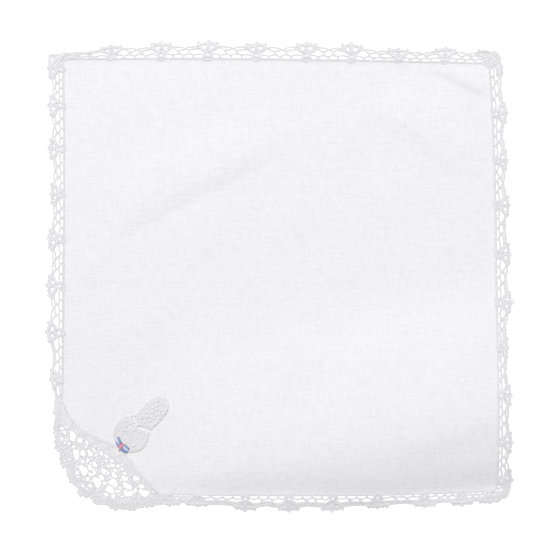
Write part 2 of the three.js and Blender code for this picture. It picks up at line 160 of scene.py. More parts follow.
def hem_path():
    """The hem's points about a millimetre apart, and the distance of each along the hem."""
    sharp = []
    for name, lace in LACE_SIDES.items():
        side = SIDES[name]
        length = np.linalg.norm(CORNERS[side["end"]] - CORNERS[side["start"]])
        first = lace["start"] - CORNER_ROUNDING / length if lace["start"] > 0 else 0
        last = lace["end"] + CORNER_ROUNDING / length if lace["end"] < 1 else 1
        shares = np.linspace(first, last, round((last - first) * length) + 1)
        sharp.append(side_points(name, shares[1:] if sharp else shares))
    sharp = np.concatenate(sharp)
    window = np.ones(2 * CORNER_ROUNDING + 1) / (2 * CORNER_ROUNDING + 1)
    points = np.stack([np.convolve(sharp[:, k], window, "valid") for k in (0, 1)], axis=1)
    steps = np.linalg.norm(np.diff(points, axis=0), axis=1)
    return points, np.concatenate([[0], np.cumsum(steps)])


HEM_POINTS, HEM_DISTANCES = hem_path()
HEM_LENGTH = HEM_DISTANCES[-1]
HEM_TANGENTS = np.gradient(HEM_POINTS, axis=0)
HEM_TANGENTS /= np.linalg.norm(HEM_TANGENTS, axis=1)[:, None]


def hem_distance_of(corner):
    """The distance along the hem that is nearest to a corner of the cloth."""
    return HEM_DISTANCES[np.linalg.norm(HEM_POINTS - CORNERS[corner], axis=1).argmin()]


CORNER_NAMES = ["top_left", "top_right", "bottom_right"]
STOPS = [0.0] + [hem_distance_of(corner) for corner in CORNER_NAMES] + [HEM_LENGTH]
print("hem that carries the edging:", round(HEM_LENGTH), "mm, corners at", np.round(STOPS))

# %% [markdown]
# The daisies are not evenly spaced, and some stand taller than others because the edging is gathered here and
# stretched there. So each daisy has its own place along its side and its own reach out from the hem, and the
# net between two daisies takes a depth between theirs.

# %% Daisies along the hem
DRAWN_REACH = 10.6
DAISY_PLACES = {
    "left": [-63.7, -34.9, -6.0, 23.4, 51.0, 78.9, 106.2, 129.5],
    "top": [-102.9, -72.2, -43.4, -13.0, 17.1, 45.9, 74.4, 103.9, 130.0],
    "right": [101.2, 72.1, 43.6, 13.8, -15.7, -43.9, -73.6, -102.1, -126.0],
    "bottom": [131.0, 113.5, 91.1, 61.7, 34.1, 6.8, -19.8, -50.2, -67.5],
}
DAISY_REACHES = {
    "left": [7.6, 10.3, 10.1, 10.0, 8.2, 9.6, 9.3, 9.6],
    "top": [8.4, 10.2, 11.3, 10.0, 10.9, 10.7, 7.8, 9.2, 8.8],
    "right": [9.0, 8.3, 8.9, 9.0, 9.7, 6.2, 8.4, 8.6, 9.4],
    "bottom": [7.9, 8.6, 8.6, 8.8, 10.4, 10.4, 10.2, 7.4, 7.6],
}
GATHERED = [
    {"side": "left", "at": -77, "reach": 5.6},
    {"side": "top", "at": -133, "reach": 4.8},
    {"side": "top", "at": -129, "reach": 5.2},
    {"side": "top", "at": -118, "reach": 6.4},
]


def hem_distance_at(side, place):
    """Distance along the hem at a place on a side: its x on level sides, its y on upright ones."""
    k = list(LACE_SIDES).index(side)
    axis = 1 if side in ("left", "right") else 0
    on_side = (HEM_DISTANCES >= STOPS[k]) & (HEM_DISTANCES <= STOPS[k + 1])
    nearest = np.abs(HEM_POINTS[on_side, axis] - place).argmin()
    return HEM_DISTANCES[on_side][nearest]


DAISIES = []
for side, places in DAISY_PLACES.items():
    for place, reach in zip(places, DAISY_REACHES[side]):
        DAISIES.append({"side": side, "distance": hem_distance_at(side, place), "reach": reach})
gathers = [{**gather, "distance": hem_distance_at(gather["side"], gather["at"])} for gather in GATHERED]
depth_marks = sorted(DAISIES + gathers, key=lambda mark: mark["distance"])
MARK_DISTANCES = [mark["distance"] for mark in depth_marks]
MARK_DEPTHS = [mark["reach"] / DRAWN_REACH for mark in depth_marks]


def lace_points(route):
    """Plan points of a route given as rows of distance along the hem and height out from it."""
    route = np.asarray(route, float)
    distance = route[:, 0]
    point = np.stack([np.interp(distance, HEM_DISTANCES, HEM_POINTS[:, k]) for k in (0, 1)], axis=1)
    tangent = np.stack([np.interp(distance, HEM_DISTANCES, HEM_TANGENTS[:, k]) for k in (0, 1)], axis=1)
    tangent /= np.linalg.norm(tangent, axis=1)[:, None]
    outwards = np.stack([-tangent[:, 1], tangent[:, 0]], axis=1)
    out = PIECE_GAP + route[:, 1] * np.interp(distance, MARK_DISTANCES, MARK_DEPTHS)
    beyond = distance - np.clip(distance, 0, HEM_LENGTH)
    return point + outwards * out[:, None] + tangent * beyond[:, None]


print("daisies:", len(DAISIES))

# %% [markdown]
# ## Materials
# All of it is cotton. The lawn is a fine plain weave of slightly uneven yarn, so it shows short darker and
# lighter streaks along warp and weft; the crochet thread is a tighter, rounder yarn that looks greyer
# because each stitch shades the next, and the edging thread's colour is painted a little greyer than the
# lawn as painted shade for that. One small function adds a node with its settings and links, so that
# a material reads as a list of what it is made of.

# %% Material helpers
def linear(hex_colour):
    """A linear colour with alpha from an sRGB hex value."""
    channels = [int(hex_colour[i : i + 2], 16) / 255 for i in (1, 3, 5)]
    return [c / 12.92 if c <= 0.04045 else ((c + 0.055) / 1.055) ** 2.4 for c in channels] + [1.0]


def new_material(name):
    """An empty material with its output node."""
    material = bpy.data.materials.new(name)
    material.use_nodes = True
    material.node_tree.nodes.clear()
    return material


def add_node(material, kind, inputs=None, **settings):
    """Adds a node with its settings, and values or links for its inputs."""
    node = material.node_tree.nodes.new(kind)
    for name, value in settings.items():
        setattr(node, name, value)
    for socket, value in (inputs or {}).items():
        if isinstance(value, bpy.types.NodeSocket):
            material.node_tree.links.new(value, node.inputs[socket])
        else:
            node.inputs[socket].default_value = value
    return node


def finish_material(material, colour, roughness, normal, sheen=0.1, specular=0.15):
    """Ends a material in a principled shader with a linked colour and normal."""
    inputs = {"Base Color": colour, "Roughness": roughness, "Sheen Weight": sheen, "Normal": normal}
    inputs["Specular IOR Level"] = specular
    shader = add_node(material, "ShaderNodeBsdfPrincipled", inputs)
    add_node(material, "ShaderNodeOutputMaterial", {"Surface": shader.outputs["BSDF"]})
    return material


print("middle grey in linear light:", np.round(linear("#808080"), 3))

# %% Cotton lawn: plain weave with slubs, matte, a little fuzz
LAWN_LIGHT = linear("#f4f4f4")
LAWN_DARK = linear("#e8e8ea")
SLUB_SHADE = linear("#e3e3e5")
THREAD_SPACING = 0.0007  # woven at about 0.3 mm, drawn coarser so that it shows
SLUB_LENGTH = 0.010
SLUB_THICKNESS = 0.0012


def cotton_lawn():
    """Fine white plain-woven cotton: streaks of thicker yarn both ways over a soft weave."""
    material = new_material("cotton_lawn_plain_weave")
    place = add_node(material, "ShaderNodeTexCoord").outputs["Object"]
    long_scale, short_scale = 1 / SLUB_LENGTH, 1 / SLUB_THICKNESS
    streaks = []
    for scale in ((long_scale, short_scale, 1), (short_scale, long_scale, 1)):
        stretched = add_node(material, "ShaderNodeMapping", {"Vector": place, "Scale": scale})
        noise = add_node(
            material,
            "ShaderNodeTexNoise",
            {"Vector": stretched.outputs["Vector"], "Scale": 1.0, "Detail": 2.0, "Roughness": 0.6},
        )
        streaks.append(noise.outputs["Fac"])
    crossed = add_node(material, "ShaderNodeMath", {0: streaks[0], 1: streaks[1]}, operation="ADD")
    weave = []
    for axis in ("X", "Y"):
        threads = add_node(
            material,
            "ShaderNodeTexWave",
            {"Vector": place, "Scale": 0.314 / THREAD_SPACING, "Distortion": 1.2, "Detail Scale": 40.0},
            bands_direction=axis,
        )
        weave.append(threads.outputs["Fac"])
    woven = add_node(material, "ShaderNodeMath", {0: weave[0], 1: weave[1]}, operation="MULTIPLY")
    tone = add_node(
        material,
        "ShaderNodeMapRange",
        {"Value": crossed.outputs["Value"], "From Min": 0.72, "From Max": 1.28},
    )
    cloth_colour = add_node(
        material,
        "ShaderNodeMix",
        {"Factor": tone.outputs["Result"], "A": LAWN_DARK, "B": LAWN_LIGHT},
        data_type="RGBA",
    )
    strongest = add_node(material, "ShaderNodeMath", {0: streaks[0], 1: streaks[1]}, operation="MAXIMUM")
    slubs = add_node(
        material,
        "ShaderNodeMapRange",
        {"Value": strongest.outputs["Value"], "From Min": 0.60, "From Max": 0.75},
    )
    colour = add_node(
        material,
        "ShaderNodeMix",
        {"Factor": slubs.outputs["Result"], "A": cloth_colour.outputs["Result"], "B": SLUB_SHADE},
        data_type="RGBA",
    )
    relief = add_node(
        material,
        "ShaderNodeMath",
        {0: woven.outputs["Value"], 1: 0.5, 2: crossed.outputs["Value"]},
        operation="MULTIPLY_ADD",
    )
    bump = add_node(
        material,
        "ShaderNodeBump",
        {"Height": relief.outputs["Value"], "Strength": 0.35, "Distance": 0.00025},
    )
    return finish_material(material, colour.outputs["Result"], 0.9, bump.outputs["Normal"])


lawn = cotton_lawn()
print("made", lawn.name)

# %% Mercerised crochet cotton: round twisted yarn, slightly silky
YARN_TWIST = 0.5  # turns of ply in each millimetre
FUZZ_LIFT = 1.5  # loose fibres on the yarn's sides catch light from above, so the shading leans upwards


def crochet_cotton(name, light, dark):
    """Twisted cotton yarn: slanting plies from the yarn's own map, and a patchy grey."""
    material = new_material(name)
    along_yarn = add_node(material, "ShaderNodeUVMap", uv_map="yarn").outputs["UV"]
    place = add_node(material, "ShaderNodeTexCoord").outputs["Object"]
    patches = add_node(
        material, "ShaderNodeTexNoise", {"Vector": place, "Scale": 420.0, "Detail": 2.0, "Roughness": 0.6}
    )
    colour = add_node(
        material, "ShaderNodeMix", {"Factor": patches.outputs["Fac"], "A": dark, "B": light}, data_type="RGBA"
    )
    plies = add_node(
        material,
        "ShaderNodeTexWave",
        {"Vector": along_yarn, "Scale": 0.314, "Distortion": 0.4},
        bands_direction="DIAGONAL",
    )
    facing = add_node(material, "ShaderNodeNewGeometry").outputs["Normal"]
    lifted = add_node(material, "ShaderNodeVectorMath", {0: facing, 1: (0, 0, FUZZ_LIFT)}, operation="ADD")
    fuzzy = add_node(material, "ShaderNodeVectorMath", {0: lifted.outputs["Vector"]}, operation="NORMALIZE")
    bump = add_node(
        material,
        "ShaderNodeBump",
        {
            "Height": plies.outputs["Fac"],
            "Normal": fuzzy.outputs["Vector"],
            "Strength": 0.3,
            "Distance": 0.0001,
        },
    )
    return finish_material(material, colour.outputs["Result"], 0.75, bump.outputs["Normal"])


# Edging thread, painted greyer than the lawn: painted shade for the shade between its stitches, over random
# patches of tone.
edging_cotton_with_painted_shade = crochet_cotton("crochet_cotton", linear("#ededee"), linear("#e1e1e4"))
motif_cotton = crochet_cotton("fine_crochet_cotton", linear("#f0f0f2"), linear("#e9e9ec"))
knot_cotton = crochet_cotton("white_knot_cotton", linear("#ffffff"), linear("#fbfbfc"))
blue_cotton = crochet_cotton("blue_embroidery_cotton", linear("#a8bee2"), linear("#6b8bc8"))
pale_cotton = crochet_cotton("pale_blue_embroidery_cotton", linear("#f4f7fd"), linear("#dfe8f8"))
red_cotton = crochet_cotton("red_embroidery_cotton", linear("#fbbcc8"), linear("#f0809a"))
print("made", edging_cotton_with_painted_shade.name, motif_cotton.name, blue_cotton.name, pale_cotton.name, red_cotton.name)

# %% [markdown]
# ## The cloth
# The lawn is a thin sheet on the folds. It could be a subdivided plane, but its sides swell and one corner
# is cut on a curve, so its points are worked out: a grid stretched between the four bowed sides, with closer
# lines in the hem. Points past the cut are pulled back onto it and faces beyond are dropped. The narrow
# rolled hem is a raised round edge of the same sheet, and Solidify gives the sheet its thickness.

# %% The fan's two curves, shared by the cloth and the fan
CUT_CURVE = [
    (-80.6, -127.6),
    (-86.8, -121.0),
    (-93.2, -112.4),
    (-99.6, -106.6),
    (-109.7, -101.6),
    (-122.0, -95.4),
    (-129.4, -87.6),
]
OUTER_CURVE = [
    (-82.0, -143.0),
    (-95.0, -144.6),
    (-107.3, -142.2),
    (-117.8, -137.6),
    (-125.6, -130.4),
    (-131.6, -120.1),
    (-136.6, -108.0),
    (-138.6, -97.0),
    (-138.6, -86.0),
]


def smooth_route(points, step):
    """A smooth curve through points, as points a step apart."""
    points = np.asarray(points, float)
    padded = np.concatenate([[2 * points[0] - points[1]], points, [2 * points[-1] - points[-2]]])
    pieces = []
    t = np.linspace(0, 1, 12, endpoint=False)[:, None]
    for a, b, c, d in zip(padded[:-3], padded[1:-2], padded[2:-1], padded[3:]):
        slope, bend = c - a, 2 * a - 5 * b + 4 * c - d
        pieces.append(b + 0.5 * t * (slope + t * (bend + t * (3 * (b - c) + d - a))))
    curve = np.concatenate(pieces + [points[-1:]])
    travelled = np.concatenate([[0], np.cumsum(np.linalg.norm(np.diff(curve, axis=0), axis=1))])
    count = max(int(np.ceil(travelled[-1] / step)), 2)
    places = np.linspace(0, travelled[-1], count + 1)
    return np.stack([np.interp(places, travelled, curve[:, k]) for k in range(curve.shape[1])], axis=1)


fan_ends = lace_points([(HEM_LENGTH + PIECE_GAP, 0), (0, 0)])
fan_tips = lace_points([(HEM_LENGTH, 10.2), (0, 6.6)])
FAN_CUT = smooth_route([fan_ends[0], *CUT_CURVE, fan_ends[1]], 0.5)
FAN_OUTER = smooth_route([fan_tips[0], *OUTER_CURVE, fan_tips[1]], 0.5)
print("cut edge:", len(FAN_CUT) * 0.5, "mm, outer edge:", len(FAN_OUTER) * 0.5, "mm")

# %% Sheet of lawn
CLOTH_LEVEL = 0.35
CLOTH_THICKNESS = 0.3
HEM_ROLL_WIDTH = 2.2
HEM_ROLL_HEIGHT = 0.08
GRID_STEP = 1.6
HEM_LINES = [0, 0.35, 0.75, 1.15, 1.55, 1.95, 2.4, 3.2]


def grid_shares(length):
    """Shares of a side at which the cloth has a line of points: close in the hem, even inside."""
    hem = np.array(HEM_LINES) / length
    inside = np.linspace(hem[-1], 1 - hem[-1], round(length / GRID_STEP))
    return np.concatenate([hem[:-1], inside, 1 - hem[-2::-1]])


def cloth_plan():
    """Plan points of the cloth's grid, by row and column, with each point's distance from the edge."""
    columns, rows = grid_shares(264), grid_shares(267)
    left, right = side_points("left", rows), side_points("right", 1 - rows)
    bottom, top = side_points("bottom", 1 - columns), side_points("top", columns)
    u, v = columns[None, :, None], rows[:, None, None]
    across = left[:, None] * (1 - u) + right[:, None] * u
    along = bottom[None] * (1 - v) + top[None] * v
    low = CORNERS["bottom_left"] * (1 - u) + CORNERS["bottom_right"] * u
    high = CORNERS["top_left"] * (1 - u) + CORNERS["top_right"] * u
    points = across + along - (low * (1 - v) + high * v)
    from_side = np.minimum(columns, 1 - columns)[None, :] * 264
    from_end = np.minimum(rows, 1 - rows)[:, None] * 267
    return points, np.minimum(from_side, from_end)


def cut_distance(points):
    """Distance of plan points from the fan's cut, positive on the cloth, and the nearest point on it."""
    flat = points.reshape(-1, 2)
    near_corner = np.linalg.norm(flat - CORNERS["bottom_left"], axis=1) < 110
    distance = np.full(len(flat), 1000.0)
    nearest = flat.copy()
    tangents = np.gradient(FAN_CUT, axis=0)
    for i in np.nonzero(near_corner)[0]:
        offsets = flat[i] - FAN_CUT
        k = (offsets**2).sum(axis=1).argmin()
        side = tangents[k, 0] * offsets[k, 1] - tangents[k, 1] * offsets[k, 0]
        distance[i] = np.linalg.norm(offsets[k]) * (-1 if side > 0 else 1)
        nearest[i] = FAN_CUT[k]
    return distance.reshape(points.shape[:-1]), nearest.reshape(points.shape)


def to_frame(plan, heights):
    """Points of the frame in metres from plan points and heights in millimetres."""
    return np.concatenate([(plan + DRAWING_SHIFT), heights[..., None]], axis=-1) * MM


def select_only(piece):
    """Makes a piece the only selected and the active one."""
    bpy.ops.object.select_all(action="DESELECT")
    piece.select_set(True)
    bpy.context.view_layer.objects.active = piece


def new_piece(name, vertices, faces, material):
    """A smooth-shaded mesh object at the origin."""
    mesh = bpy.data.meshes.new(name)
    mesh.from_pydata(vertices.tolist(), [], faces)
    mesh.polygons.foreach_set("use_smooth", np.ones(len(mesh.polygons), bool))
    mesh.materials.append(material)
    piece = bpy.data.objects.new(name, mesh)
    bpy.context.collection.objects.link(piece)
    return piece


def make_cloth():
    """The sheet of lawn with its rolled hem and its cut corner."""
    points, from_edge = cloth_plan()
    from_cut, on_cut = cut_distance(points)
    rows, columns = points.shape[:2]
    inside = from_cut > 0
    quads = np.stack([inside[:-1, :-1], inside[:-1, 1:], inside[1:, 1:], inside[1:, :-1]])
    kept = quads.any(axis=0)
    points = np.where(inside[..., None], points, on_cut)
    edge = np.minimum(from_edge, np.abs(np.where(inside, from_cut, 0)))
    roll = np.clip(1 - ((edge - HEM_ROLL_WIDTH / 2) / (HEM_ROLL_WIDTH / 2)) ** 2, 0, 1)
    heights = lift(points) + CLOTH_LEVEL + HEM_ROLL_HEIGHT * np.sqrt(roll)
    number = np.arange(rows * columns).reshape(rows, columns)
    faces = np.stack([number[:-1, :-1], number[:-1, 1:], number[1:, 1:], number[1:, :-1]], axis=-1)[kept]
    used, compact = np.unique(faces, return_inverse=True)
    vertices = to_frame(points, heights).reshape(-1, 3)[used]
    cloth = new_piece("lawn_cloth", vertices, compact.reshape(-1, 4).tolist(), lawn)
    select_only(cloth)
    bpy.ops.object.mode_set(mode="EDIT")
    bpy.ops.mesh.select_all(action="SELECT")
    bpy.ops.mesh.remove_doubles(threshold=0.00002)
    bpy.ops.object.mode_set(mode="OBJECT")
    shell = cloth.modifiers.new("thickness", "SOLIDIFY")
    shell.thickness = CLOTH_THICKNESS * MM
    shell.offset = 0
    bpy.ops.object.modifier_apply(modifier=shell.name)
    return cloth


cloth = make_cloth()
print("cloth faces:", len(cloth.data.polygons))

# %% [markdown]
# ## Crochet thread
# Crochet is one long yarn. A row of chain stitches looks like a flat plait, so each chain here is three thin
# yarns plaited along a route: every yarn swings from side to side and over and under the others, a third of
# a turn apart. Thousands of stitches would be slow as Blender curves, so the yarns' points are worked out and
# joined into one mesh for each piece, with a map that follows the yarn for its twist.

# %% Yarn helpers
CHAIN_STEP = 0.52
CHAIN_TURN = 2.5
YARN_SIDES = 4


class Yarns:
    """Collects closed tubes of yarn for one piece."""

    def __init__(self):
        self.vertices, self.faces, self.maps, self.count = [], [], [], 0

    def tube(self, path, radius):
        """One yarn along a path of points in millimetres."""
        tangent = np.gradient(path, axis=0)
        tangent /= np.linalg.norm(tangent, axis=1)[:, None]
        across = np.stack([-tangent[:, 1], tangent[:, 0], np.zeros(len(path))], axis=1)
        across /= np.maximum(np.linalg.norm(across, axis=1), 1e-6)[:, None]
        up = np.cross(tangent, across)
        angles = 2 * np.pi * (np.arange(YARN_SIDES) + 0.5) / YARN_SIDES
        ring = across[:, None] * np.cos(angles)[None, :, None] + up[:, None] * np.sin(angles)[None, :, None]
        radius = np.broadcast_to(radius, len(path))[:, None, None]
        self.vertices.append((path[:, None] + ring * radius).reshape(-1, 3))
        i, j = np.meshgrid(np.arange(len(path) - 1), np.arange(YARN_SIDES), indexing="ij")
        k = (j + 1) % YARN_SIDES
        corners = [(i, j), (i, k), (i + 1, k), (i + 1, j)]
        quads = np.stack([a * YARN_SIDES + b for a, b in corners], axis=-1)
        self.faces.append(quads.reshape(-1, 4) + self.count)
        lengths = np.concatenate([[0], np.cumsum(np.linalg.norm(np.diff(path, axis=0), axis=1))])
        turn = [(i, j), (i, j + 1), (i + 1, j + 1), (i + 1, j)]
        mapped = [np.stack([lengths[a] * YARN_TWIST, b / YARN_SIDES], axis=-1) for a, b in turn]
        self.maps.append(np.stack(mapped, axis=2).reshape(-1, 2))
        end = (len(path) - 1) * YARN_SIDES + np.arange(YARN_SIDES)
        self.faces.append(np.stack([np.arange(YARN_SIDES)[::-1], end]) + self.count)
        self.maps.append(np.zeros((2 * YARN_SIDES, 2)))
        self.count += len(path) * YARN_SIDES

    def chain(self, plan, width=1.25, level=0.65):
        """A row of chain stitches, as three plaited yarns along a smooth route on the plan."""
        route = smooth_route(plan, CHAIN_STEP)
        tangent = np.gradient(route, axis=0)
        tangent /= np.maximum(np.linalg.norm(tangent, axis=1), 1e-6)[:, None]
        sideways = np.stack([-tangent[:, 1], tangent[:, 0]], axis=1)
        travelled = np.arange(len(route)) * CHAIN_STEP
        radius = 0.21 * width
        base = lift(route) + level
        for yarn in range(3):
            phase = 2 * np.pi * (travelled / CHAIN_TURN + yarn / 3)
            swing = (width / 2 - radius) * np.sin(phase)
            height = base + 0.16 * width * np.sin(2 * phase)
            path = np.concatenate([route + sideways * swing[:, None], height[:, None]], axis=1)
            self.tube(path, radius)

    def piece(self, name, material):
        """The finished mesh object, with the yarns' map."""
        points = np.concatenate(self.vertices)
        faces = np.concatenate(self.faces)
        piece = new_piece(name, to_frame(points[:, :2], points[:, 2]), faces.tolist(), material)
        layer = piece.data.uv_layers.new(name="yarn")
        layer.data.foreach_set("uv", np.concatenate(self.maps).ravel())
        print(name, "has", 2 * len(faces), "triangles")
        return piece


print("a plait of chain turns every", CHAIN_TURN, "mm")

# %% [markdown]
# ## The edging
# The edging repeats from daisy to daisy. Between two daisies runs a net of loose chains: low arches stand on
# the hem, and longer chains cross above them. A daisy stands on two legs with a small hole between them, has
# a close knot in the middle, two wings, and round picots on its crown. Each repeat is drawn once and placed
# along the hem, and every point is moved a little by a seeded random number, because hand work is never
# quite even. The lower side is worked closer, with firm outer chains.

# %% The drawing of one repeat
PITCH = 28.9
NET_CHAINS = {
    "low chain": [
        (1.8, 1.9), (4.6, 2.6), (7.3, 1.9), (10.4, 2.6), (13.6, 1.9),
        (16.8, 2.6), (20.1, 1.9), (23.6, 2.6), (27.1, 1.9),
    ],
    "first post": [(7.1, 0.2), (7.4, 1.9)],
    "middle post": [(13.7, 0.2), (13.5, 1.9)],
    "last post": [(20.0, 0.2), (20.2, 1.9)],
    "first drop": [(3.2, 6.4), (6.6, 6.4), (8.9, 5.4), (10.6, 4.0), (11.9, 2.7)],
    "bridge": [(9.6, 4.9), (12.2, 4.9), (14.4, 5.5), (16.0, 6.3), (18.4, 7.0), (22.6, 7.3)],
    "outer chain": [(6.0, 7.3), (10.2, 7.0), (13.3, 6.6), (15.4, 5.4), (17.1, 3.9), (18.9, 2.7)],
    "last drop": [(26.0, 6.1), (22.6, 5.8), (19.8, 5.3), (16.9, 4.8)],
}
DAISY_CHAINS = {
    "left leg": [(-2.6, 0.3), (-1.7, 1.4), (-1.4, 2.6), (-0.9, 3.6)],
    "right leg": [(2.6, 0.3), (1.7, 1.4), (1.4, 2.6), (0.9, 3.6)],
    "foot": [(-1.6, 0.5), (0, 1.0), (1.6, 0.5)],
    "knot": [(-1.9, 4.3), (-0.6, 3.4), (1.0, 3.5), (1.9, 4.6), (0.6, 5.7), (-1.1, 5.5), (-1.9, 4.3)],
    "knot fill": [(-1.4, 4.1), (0, 4.7), (1.4, 4.2)],
    "left low wing": [(-1.6, 3.5), (-2.9, 4.1), (-4.6, 5.2), (-5.9, 6.6)],
    "left wing": [(-1.6, 4.7), (-2.9, 5.2), (-4.2, 6.3), (-5.2, 7.4)],
    "right low wing": [(1.6, 3.5), (2.9, 4.1), (4.6, 5.2), (5.9, 6.6)],
    "right wing": [(1.6, 4.7), (2.9, 5.2), (4.2, 6.3), (5.2, 7.4)],
    "left rib": [(-0.5, 5.6), (-0.6, 6.8), (-0.8, 8.2)],
    "right rib": [(0.5, 5.6), (0.6, 6.8), (0.8, 8.2)],
    "crown": [(-7.4, 7.0), (-5.6, 7.5), (-2.8, 8.0), (0, 8.3), (2.8, 8.0), (5.6, 7.5), (7.4, 7.0)],
    "upper crown": [(-6.4, 8.2), (-4.2, 8.5), (-2.0, 8.8), (0, 9.2), (2.0, 8.8), (4.2, 8.5), (6.4, 8.2)],
}
PICOTS = [
    {"along": -5.6, "out": 8.8, "radius": 0.95},
    {"along": -2.8, "out": 9.1, "radius": 0.6},
    {"along": 0.1, "out": 9.7, "radius": 1.05},
    {"along": 2.8, "out": 9.0, "radius": 0.6},
    {"along": 5.5, "out": 8.7, "radius": 0.95},
]
HAND_UNEVENNESS = 0.18
hand = np.random.default_rng(12)


def by_hand(route):
    """A route with every point moved a little."""
    route = np.asarray(route, float)
    return route + hand.normal(0, HAND_UNEVENNESS, route.shape)


def ring_route(centre, radius):
    """A closed round route of points."""
    turn = np.linspace(0, 2 * np.pi, 9)
    return np.asarray(centre) + radius * np.stack([np.cos(turn), np.sin(turn)], axis=1)


print("chains in a repeat:", len(NET_CHAINS) + len(DAISY_CHAINS) + len(PICOTS))

# %% Net, daisies and hem stitches of one side
STITCH_SPACING = 0.75
STITCH_RADIUS = 0.36
STITCH_HEIGHTS = np.array([0.32, 0.5, 0.62, 0.62, 0.5])


def add_net(yarns, start, end, width):
    """The chain net between two daisies at distances along the hem."""
    stretch = (end - start) / PITCH
    for chain in NET_CHAINS.values():
        route = by_hand(chain) * [stretch, 1] + [start, 0]
        route = route[(route[:, 0] > 0) & (route[:, 0] < HEM_LENGTH)]
        if len(route) > 1:
            yarns.chain(lace_points(route), width=width, level=0.65 + hand.normal(0, 0.06))


def add_border(yarns, start, end):
    """Firm outer chains between two daisies, where the edging is worked closer."""
    sag = [(0.0, 0.6), (0.25, 0.0), (0.5, -0.5), (0.75, 0.0), (1.0, 0.6)]
    for out in (5.0, 6.2, 7.4):
        route = [(start + (end - start) * share, out + rise) for share, rise in sag]
        yarns.chain(lace_points(by_hand(route)), width=1.6)


def add_daisy(yarns, daisy):
    """One daisy with its picots, and the deeper stitches that hold its foot."""
    at = [daisy["distance"], 0]
    width = LACE_SIDES[daisy["side"]]["daisy_width"]
    for chain in DAISY_CHAINS.values():
        yarns.chain(lace_points(by_hand(chain) + at), level=0.7 + hand.normal(0, 0.08), width=width)
    for picot in PICOTS:
        centre = by_hand([(picot["along"], picot["out"])])[0] + at
        yarns.chain(lace_points(ring_route(centre, picot["radius"])), level=0.75)
    for place in np.linspace(-2.2, 2.2, 8):
        add_stitch(yarns, daisy["distance"] + place, -2.3 + 0.3 * abs(place))


def add_stitch(yarns, distance, depth):
    """One slanting stitch over the hem, from a depth in the cloth to the foot of the lace."""
    outs = np.linspace(depth + hand.normal(0, 0.12), 0.45, 5)
    slant = 0.3 + hand.normal(0, 0.08)
    plan = lace_points(np.stack([distance + slant * outs, outs], axis=1))
    yarns.tube(np.concatenate([plan, (lift(plan) + STITCH_HEIGHTS)[:, None]], axis=1), STITCH_RADIUS)


def add_square_corner(yarns):
    """Close rows that fill the top left corner of the edging, where it is drawn out nearly square."""
    for row in range(1, 7):
        x, y = CORNERS["top_left"] + [-1.45 * row, 0.48 * row]
        route = [(x, y - 8), (x, y - 3), (x + 0.3, y - 0.3), (x + 3, y + 0.1), (x + 9 + row, y + 0.2)]
        yarns.chain(by_hand(route), width=1.35)


def add_round_corner(yarns):
    """Bent rows that fill the top right corner of the edging, with gaps between them."""
    corner = STOPS[2]
    for out in [2.4, 4.4, 5.8, 8.2]:
        route = [(corner - 7, out), (corner - 2.5, out), (corner + 2.5, out), (corner + 8, out)]
        yarns.chain(lace_points(by_hand(route)), width=1.6)


def make_edging(side):
    """The edging of one side, from the corner or fan before it to the one after it."""
    yarns = Yarns()
    k = list(LACE_SIDES).index(side)
    for distance in np.arange(STOPS[k], STOPS[k + 1], STITCH_SPACING):
        add_stitch(yarns, distance, -1.3)
    distances = np.linspace(STOPS[k], STOPS[k + 1], 80)
    yarns.chain(lace_points(np.stack([distances, np.zeros(80)], axis=1)), width=1.5, level=0.5)
    places = [daisy["distance"] for daisy in DAISIES]
    for i, daisy in enumerate(DAISIES):
        if daisy["side"] == side:
            add_daisy(yarns, daisy)
            before = places[i - 1] if i else places[0] - PITCH
            add_net(yarns, before, places[i], LACE_SIDES[side]["chain_width"])
            if side == "bottom":
                add_border(yarns, before, places[i])
    if side == "top":
        add_square_corner(yarns)
        add_round_corner(yarns)
    return yarns.piece(f"edging_{side}", edging_cotton_with_painted_shade)


edging = [make_edging(side) for side in LACE_SIDES]

# %% [markdown]
# ## The corner fan
# The fan fills the cut corner. Close rows follow the cut, firm rows follow the scalloped outer edge, and
# short posts fill the net between them. The larger openings lie where the photograph has them and lean with
# the fan; the smallest are scattered between them. Rows and posts stop at the openings, and a chain runs
# round each of the larger ones, as a crocheter would bind it.

# %% Places in the fan
BAND_DEPTH = 5.0
BORDER_DEPTH = 5.0
POST_HEIGHT = 2.3
POST_SPACING = 1.7
ROW_SPACING = 1.35
FAN_SCALLOPS = 10
SCALLOP_DEPTH = 2.8
OPENINGS = [
    {"size": (6.0, 4.3), "places": [
        (-127, -99), (-125, -110), (-120.5, -120), (-112, -127.5), (-104, -132), (-93, -134),
        (-83, -134), (-93.5, -130), (-102, -128),
    ]},
    {"size": (4.1, 3.0), "places": [
        (-121, -109.5), (-116.5, -109.5), (-116.5, -118.5), (-109.5, -124.5), (-108, -120.5),
        (-113.5, -116.5), (-84.5, -130), (-101.5, -123), (-95, -125), (-88, -125), (-123, -101.5),
    ]},
    {"size": (2.8, 2.0), "places": [
        (-118.5, -103), (-109.5, -109.5), (-106.5, -111.5), (-106, -114), (-103.5, -114), (-102.5, -117),
        (-99, -117.5), (-97, -119), (-105, -117.5), (-116.5, -129.5), (-98, -131), (-106.5, -135),
        (-95, -122), (-101, -120), (-121, -114.5), (-107.5, -128), (-118, -125.5), (-124.5, -121.5),
        (-121, -129.5), (-132.5, -96.5), (-134, -100.5),
    ]},
]
SMALL_OPENINGS = 50
FAN_LENGTH = 95  # along the middle of the fan


def along_curve(curve, shares):
    """Points of a curve at shares of its length."""
    places = np.asarray(shares, float) * (len(curve) - 1)
    return np.stack([np.interp(places, np.arange(len(curve)), curve[:, k]) for k in (0, 1)], axis=1)


def fan_points(across, depth):
    """Plan points at shares across the fan and shares of its depth."""
    cut, outer = along_curve(FAN_CUT, across), along_curve(FAN_OUTER, across)
    return cut + (outer - cut) * np.asarray(depth, float)[:, None]


